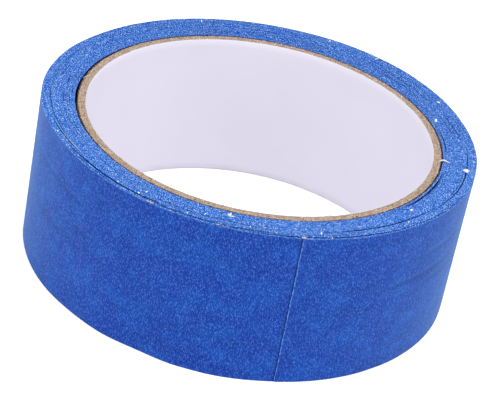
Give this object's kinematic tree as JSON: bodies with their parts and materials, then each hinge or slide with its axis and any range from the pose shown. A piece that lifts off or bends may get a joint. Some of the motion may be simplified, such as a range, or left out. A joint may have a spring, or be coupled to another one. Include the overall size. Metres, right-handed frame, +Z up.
{
  "type": "masking tape roll",
  "caption": "Roll of blue crepe paper masking tape wound on a lined paperboard tube, standing on its end, with a free tape end that lifts.",
  "frame": {"origin": "middle of the roll's bottom end face, on the surface it stands on", "axes": "+Z up along the roll's axis; -Y faces the camera of the reference picture; the strip's cut end lies 16 degrees to the right of -Y"},
  "size_m": [0.095, 0.0947, 0.035],
  "materials": {
    "core_liner_paper": "smooth pale lilac lining paper, matt",
    "core_board": "tan recycled board, fibrous cut edge",
    "core_cover_paper": "dark brown outer ply of the tube",
    "tape_end_face": "slit edges of many tape layers, fine grain, matt",
    "tape_crepe_face": "royal blue crepe paper, finely creased, matt"
  },
  "bodies": {
    "roll": {"core_liner": "core_liner_paper", "core_inner_ply": "core_board", "core_middle_ply": "core_board", "core_outer_ply": "core_cover_paper", "tape_first_turns": "tape_end_face", "tape_pack": "tape_end_face", "tape_outer_turns": "tape_crepe_face"},
    "tape_end": {"tape_end_tab": "tape_crepe_face"}
  },
  "joints": [
    {"name": "tape_end_peel", "type": "hinge", "parent": "roll", "child": "tape_end", "pos_m": [0.03238, -0.03509, 0.0175], "axis": [0, 0, 1], "range_deg": [0, 120]}
  ]
}
